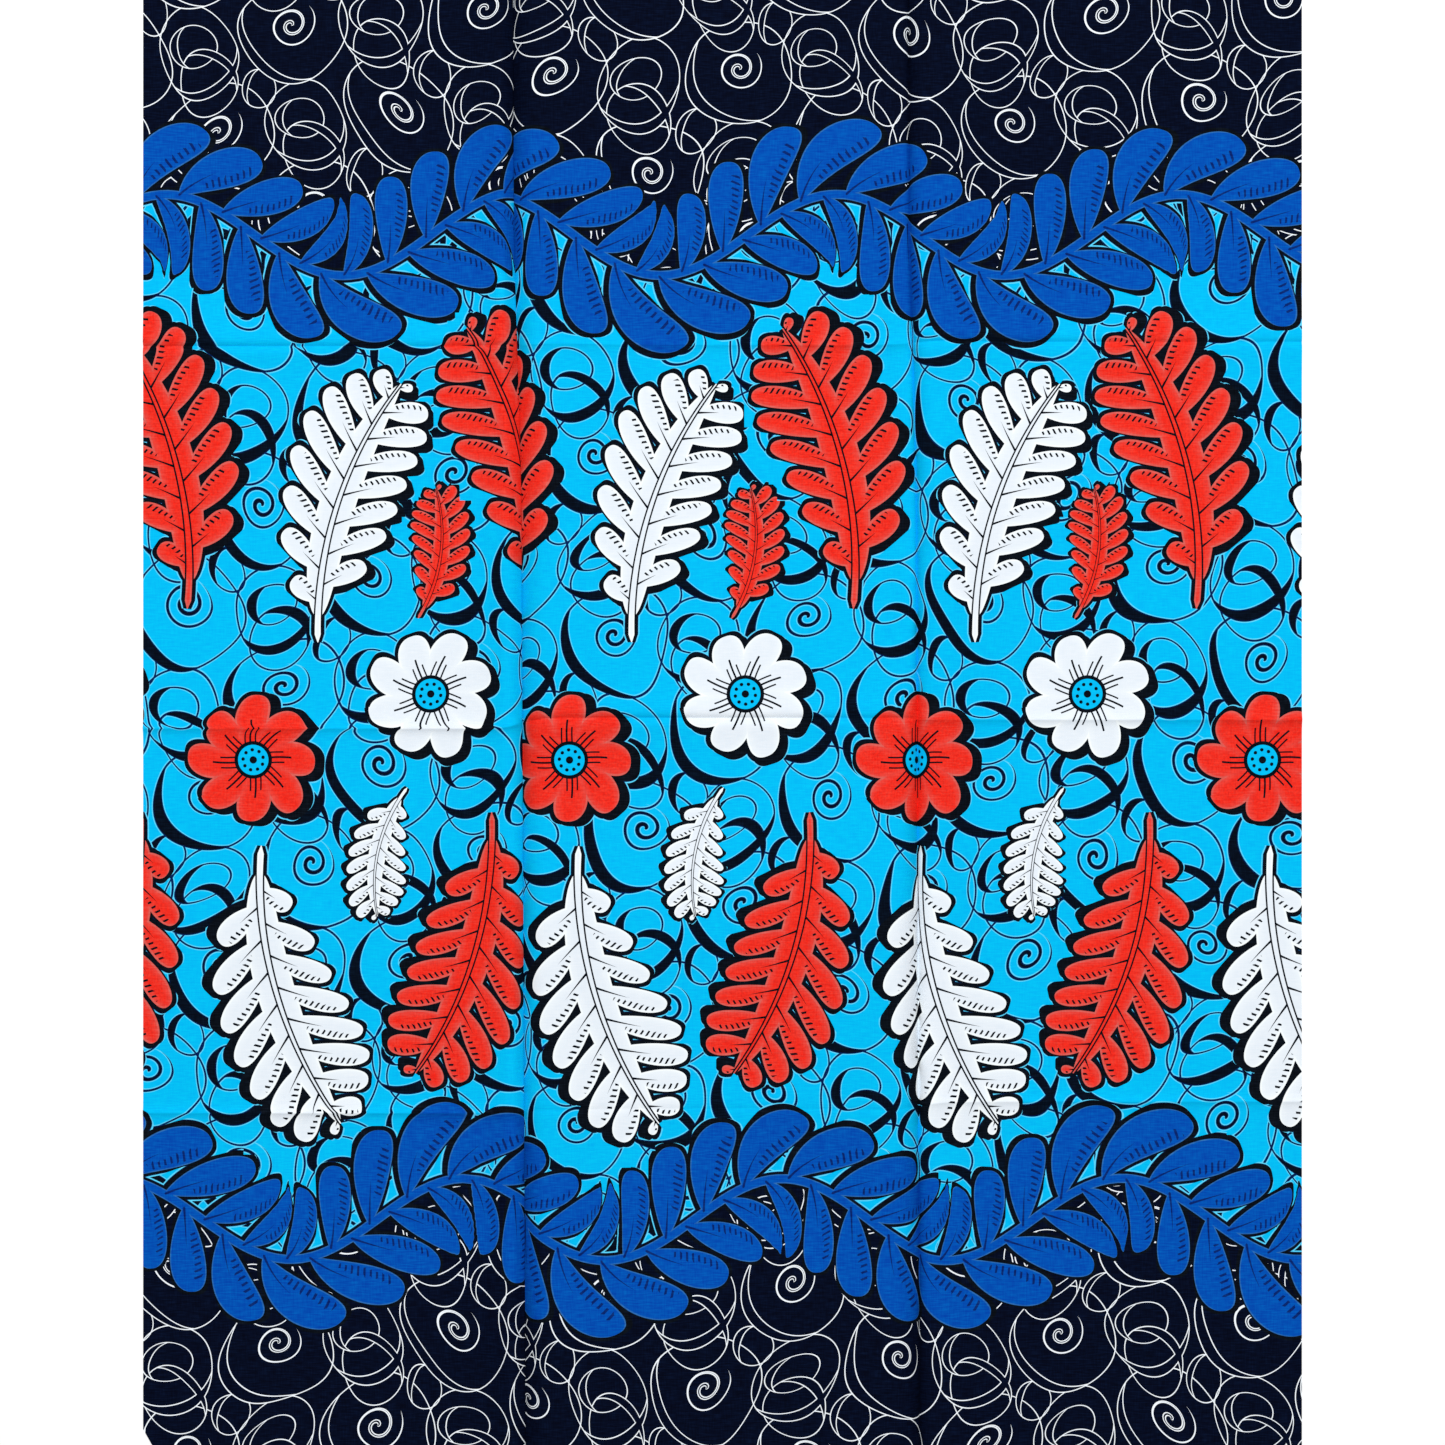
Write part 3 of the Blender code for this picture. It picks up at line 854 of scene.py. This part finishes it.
def leafRows(tree, along, away, kinds, lineGain):
    # the leaves of the garland or the lobes of a leaf, and once more aside for the heavy line
    peak = peakOf(leafForm["rise"], leafForm["fall"])
    choices = {
        "Pitch": (garland["pitch"], lobedLeaf["pitch"]),
        "Reach": (garland["reach"], lobedLeaf["reach"] * peakOf(lobedLeaf["rise"], lobedLeaf["fall"])),
        "Rise": (0.0, lobedLeaf["rise"]),
        "Fall": (0.0, lobedLeaf["fall"]),
        "Sweep": (garland["sweep"], lobedLeaf["sweep"]),
        "Width": (garland["leafWidth"] * peak, lobedLeaf["lobeWidth"] * peak),
        "Line": (garland["line"], lobedLeaf["line"]),
    }
    sockets = {name: addNode(tree, "Math MULTIPLY_ADD", [kinds["lobed"], second - first, first])
               for name, (first, second) in choices.items()}
    sockets["Line"] = addNode(tree, "Math MULTIPLY", [sockets["Line"], lineGain])
    sockets["Length"] = lobedLeaf["length"]
    heavier = addNode(tree, "Math MULTIPLY_ADD", [kinds["motif"], heavySide["motif"], heavySide["garland"]])
    shadeAlong = addNode(tree, "Math MULTIPLY_ADD", [heavier, heavySide["forward"], along])
    shadeAway = addNode(tree, "Math ADD", [away, heavier])
    rowTree = leafRowGroup()
    row, shade = (addNode(tree, "Group", {**sockets, "Along": first, "Away": second}, node_tree=rowTree)
                  for first, second in ((along, away), (shadeAlong, shadeAway)))
    return row, shade, sockets["Line"]


def leafBody(tree, along, off, part, isLobed):
    # how far a place is outside the stem of the garland, or outside a lobed leaf's solid heart and stalk
    core, stalk, length = lobedLeaf["core"], lobedLeaf["stalk"], lobedLeaf["length"]
    widest = lobedLeaf["reach"] * core["share"] * peakOf(core["rise"], core["fall"])
    body = addNode(tree, "Math MULTIPLY", [hump(tree, part, core["rise"], core["fall"]), widest])
    root = addNode(tree, "MapRange", [along, stalk["from"], stalk["full"], 0.0, 1.0])
    tip = addNode(tree, "MapRange", [along, length - stalk["tip"], length, stalk["half"], 0.0])
    rib = addNode(tree, "Math MULTIPLY", [root, tip])
    body = addNode(tree, "Math MAXIMUM", [body, rib])
    return outsideBy(tree, off, pick(tree, isLobed, garland["stem"], body), stalk["least"])


def insideMarks(tree, row, off, part, isLobed, lineGain):
    # midveins and dashes in the leaves, and the two lines of a midrib, which is clear between them
    sockets = {name: row.outputs[name] for name in ("Place", "Across", "Half", "Seed")}
    sockets["Length"] = addNode(tree, "Math DIVIDE", [row.outputs["Long"], lineGain])
    mark = addNode(tree, "Group", sockets, node_tree=leafMarksGroup())
    inLeaf = addNode(tree, "Math GREATER_THAN", [row.outputs["Inside"], 0.0])
    mark = addNode(tree, "Math MULTIPLY", [mark, inLeaf])
    midrib = lobedLeaf["midrib"]
    half = addNode(tree, "Math MULTIPLY_ADD", [part, -midrib["thins"], midrib["half"]])
    between = addNode(tree, "Math LESS_THAN", [off, half])
    between = addNode(tree, "Math MULTIPLY", [between, isLobed])
    mark = addNode(tree, "Math SUBTRACT", [mark, between])
    line = addNode(tree, "Math COMPARE", [off, half, midrib["line"]])
    line = addNode(tree, "Math MULTIPLY", [line, isLobed])
    return addNode(tree, "Math MAXIMUM", [mark, line])


# The dye stops just short of the wax line: a thin paler rim, and in the motifs a soft change behind it, by
# its distances and its strength. Outside the line there is a halo, and the line's own foot dries navy.
rims = {"garland": 0.8, "motif": 0.7, "soft": (1.5, 6.5, 0.40, 0.0), "halo": 1.05, "foot": -0.5}

# Red dye lies a little unevenly: a noise, and the range of it that goes from one red to the other.
mottle = {"Scale": 0.55, "Detail": 2.0, "Roughness": 0.7}
mottled = (0.38, 0.66, 0.0, 1.0)


def motifInk(tree, plane, kinds, inside, lineGain):
    rim = addNode(tree, "Math MULTIPLY_ADD", [kinds["motif"], rims["motif"], rims["garland"]])
    rim = addNode(tree, "Math MULTIPLY", [rim, lineGain])
    rim = addNode(tree, "Math LESS_THAN", [inside, rim])
    soft = addNode(tree, "MapRange", [inside, *rims["soft"]])
    softRim = addNode(tree, "Math MAXIMUM", [rim, soft])
    uneven = addNode(tree, "TexNoise", {"Vector": plane, **mottle})
    uneven = addNode(tree, "MapRange", [uneven, *mottled])
    red = layInks(tree, inks["red"], [(uneven, inks["redDeep"]), (softRim, inks["redRim"])])
    white = layInks(tree, inks["white"], [(softRim, inks["whiteRim"])])
    blue = layInks(tree, inks["garland"], [(rim, inks["garlandRim"])])
    return layInks(tree, blue, [(kinds["motif"], layInks(tree, red, [(kinds["white"], white)]))])


def motifLayers(tree, plane, lineGain, inField):
    # the garland, the lobed leaves and the blossoms: halo, line, ink, marks and the blossoms' hearts
    spot = addNode(tree, "Attribute", attribute_name="leafPlane").outputs["Vector"]
    along, away, code = addNode(tree, "SeparateXYZ", [spot]).outputs
    kinds = kindMasks(tree, code)
    off = addNode(tree, "Math ABSOLUTE", [away])
    part = addNode(tree, "Math MULTIPLY", [along, 1.0 / lobedLeaf["length"]])
    row, shade, line = leafRows(tree, along, away, kinds, lineGain)
    body = leafBody(tree, along, off, part, kinds["lobed"])
    bodyInside = addNode(tree, "Math MULTIPLY", [body, -1.0])
    inside = addNode(tree, "Math MAXIMUM", [row.outputs["Inside"], bodyInside])
    bodyEdge = addNode(tree, "Math SUBTRACT", [body, line])
    edge = addNode(tree, "Math MINIMUM", [row.outputs["Edge"], bodyEdge])
    edge = addNode(tree, "Math MINIMUM", [edge, shade.outputs["Edge"]])
    mark = insideMarks(tree, row, off, part, kinds["lobed"], lineGain)

    flowerTree = blossomGroup()
    flower = addNode(tree, "Group", {"X": along, "Y": away}, node_tree=flowerTree)
    shadeX, shadeY = (addNode(tree, "Math ADD", [place, step])
                      for place, step in zip((along, away), heavySide["blossom"]))
    flowerShade = addNode(tree, "Group", {"X": shadeX, "Y": shadeY}, node_tree=flowerTree)
    flowerEdge = addNode(tree, "Math MINIMUM", [flower.outputs["Edge"], flowerShade.outputs["Edge"]])
    edge = pick(tree, kinds["blossom"], edge, flowerEdge)
    inside = pick(tree, kinds["blossom"], inside, flower.outputs["Inside"])
    mark = pick(tree, kinds["blossom"], mark, flower.outputs["Mark"])
    heart = addNode(tree, "Math MULTIPLY", [flower.outputs["Heart"], kinds["blossom"]])

    halo = addNode(tree, "Math LESS_THAN", [edge, rims["halo"]])
    halo = addNode(tree, "Math MULTIPLY", [halo, inField])
    fill = addNode(tree, "Math GREATER_THAN", [inside, 0.0])
    dark = addNode(tree, "Math LESS_THAN", [edge, 0.0])
    dark = addNode(tree, "Math MAXIMUM", [dark, fill])
    foot = addNode(tree, "Math GREATER_THAN", [edge, rims["foot"]])
    foot = addNode(tree, "Math MULTIPLY", [foot, inField])
    mark = addNode(tree, "Math MULTIPLY", [mark, fill])
    return [
        (halo, inks["halo"]),
        (dark, layInks(tree, inks["outline"], [(foot, inks["navy"])])),
        (fill, motifInk(tree, plane, kinds, inside, lineGain)),
        (mark, layInks(tree, inks["garlandMark"], [(kinds["motif"], inks["outline"])])),
        (heart, inks["field"]),
    ]


# Threads are about 0.35 mm apart in the real cloth. They are drawn 0.9 mm apart, so that the grain shows.
# Slubs are the short thicker stretches of a thread, by their size in millimetres and by how much more dye
# they take up. Most show along the weft.
threads = {
    "apart": 0.9,
    "bump": {"Strength": 0.25, "Distance": 0.00008},
    "slubs": [
        {"size": (9.0, 1.1, 1.0), "dose": 0.30},
        {"size": (1.1, 9.0, 1.0), "dose": 0.15},
    ],
}


def dyeDose(tree, plane):
    dose = 1.0 - sum(slub["dose"] for slub in threads["slubs"]) / 2.0
    for slub in threads["slubs"]:
        spot = addNode(tree, "VectorMath DIVIDE", [plane, slub["size"]])
        noise = addNode(tree, "TexNoise", {0: spot, "Scale": 1.0, "Detail": 0.0}, noise_dimensions="2D")
        dose = addNode(tree, "Math MULTIPLY_ADD", [noise, slub["dose"], dose])
    return dose


def weaveBump(tree, plane):
    sides = addNode(tree, "SeparateXYZ", [plane]).outputs
    turns = [addNode(tree, "Math MULTIPLY", [side, 2.0 * math.pi / threads["apart"]])
             for side in (sides[0], sides[1])]
    warp, weft = (addNode(tree, "Math SINE", [turn]) for turn in turns)
    weave = addNode(tree, "Math MULTIPLY", [warp, weft])
    return addNode(tree, "Bump", {"Height": weave, **threads["bump"]})


cotton = {"roughness": 0.85, "specular": 0.05, "ior": 1.5}


def printCotton():
    # Wax-print cotton: plain-woven cotton, dyed through on both faces and lightly calendered.
    # To the eye it is flat, deep colour with hardly any gloss, and a fine thread grain close up.
    material = bpy.data.materials.new("waxPrintCotton")
    material.use_nodes = True
    tree = material.node_tree
    shader = tree.nodes["Principled BSDF"]
    plane = addNode(tree, "Attribute", attribute_name="clothPlane").outputs["Vector"]
    notes = addNode(tree, "Attribute", attribute_name="printNotes").outputs["Vector"]
    rise, lineGain, _ = addNode(tree, "SeparateXYZ", [notes]).outputs
    inBand = addNode(tree, "Math GREATER_THAN", [rise, 0.0])
    inField = addNode(tree, "Math SUBTRACT", [1.0, inBand])
    layers = scrollLayers(tree, plane, inBand, inField) + motifLayers(tree, plane, lineGain, inField)
    colour = layInks(tree, inks["field"], layers)
    # a colour raised to a power is what more or less of its dye gives, so white hardly changes
    dyed = addNode(tree, "Gamma", [colour, dyeDose(tree, plane)])
    tree.links.new(dyed.outputs[0], shader.inputs["Base Color"])
    tree.links.new(weaveBump(tree, plane).outputs[0], shader.inputs["Normal"])
    shader.inputs["Roughness"].default_value = cotton["roughness"]
    shader.inputs["Specular IOR Level"].default_value = cotton["specular"]
    shader.inputs["IOR"].default_value = cotton["ior"]
    return material


floorPaper = {"size": 14.0, "below": 0.0002, "colour": "#FEFEFE", "roughness": 0.9, "specular": 0.1}


def studioFloor():
    bpy.ops.mesh.primitive_plane_add(size=floorPaper["size"], location=(0.0, 0.0, -floorPaper["below"]))
    floor = bpy.context.object
    floor.name = "studioFloor"
    # a matt white paper sweep, nearly without a shine
    material = bpy.data.materials.new("mattWhitePaper")
    material.use_nodes = True
    shader = material.node_tree.nodes["Principled BSDF"]
    shader.inputs["Base Color"].default_value = linear(floorPaper["colour"])
    shader.inputs["Roughness"].default_value = floorPaper["roughness"]
    shader.inputs["Specular IOR Level"].default_value = floorPaper["specular"]
    floor.data.materials.append(material)
    return floor


# The photo looks straight down. Its frame is 1445 pixels, at 0.789 mm a pixel.
view = {"frameWidth": 1.140, "lens": 100.0, "sensor": 36.0, "clipEnd": 50.0, "x": 0.0, "y": 0.0035}


def lookDown():
    data = bpy.data.cameras.new("overheadCamera")
    data.lens = view["lens"]
    data.sensor_width = view["sensor"]
    data.clip_end = view["clipEnd"]
    camera = bpy.data.objects.new("overheadCamera", data)
    camera.location = (view["x"], view["y"], view["frameWidth"] * view["lens"] / view["sensor"])
    bpy.context.scene.collection.objects.link(camera)
    bpy.context.scene.camera = camera


lighting = {"sky": 0.14, "key": 735.0, "keySize": 1.8, "keyAt": (0.12, 2.9, 8.0)}


def lightStudio():
    world = bpy.data.worlds.new("softStudio")
    world.use_nodes = True
    background = world.node_tree.nodes["Background"]
    background.inputs["Color"].default_value = (1.0, 1.0, 1.0, 1.0)
    background.inputs["Strength"].default_value = lighting["sky"]
    bpy.context.scene.world = world
    data = bpy.data.lights.new("softbox", "AREA")
    data.energy = lighting["key"]
    data.size = lighting["keySize"]
    softbox = bpy.data.objects.new("softbox", data)
    softbox.location = lighting["keyAt"]
    away = -softbox.location
    softbox.rotation_euler = away.to_track_quat("-Z", "Y").to_euler()
    bpy.context.scene.collection.objects.link(softbox)
    bpy.context.scene.view_settings.view_transform = "Standard"


lookDown()
lightStudio()
floor = studioFloor()
piece, flat = layCloth()
chartPrint(piece, flat)
thicken(piece)
piece.data.materials.clear()
piece.data.materials.append(printCotton())
print("print finished")
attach(piece, "root")
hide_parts("cloth")
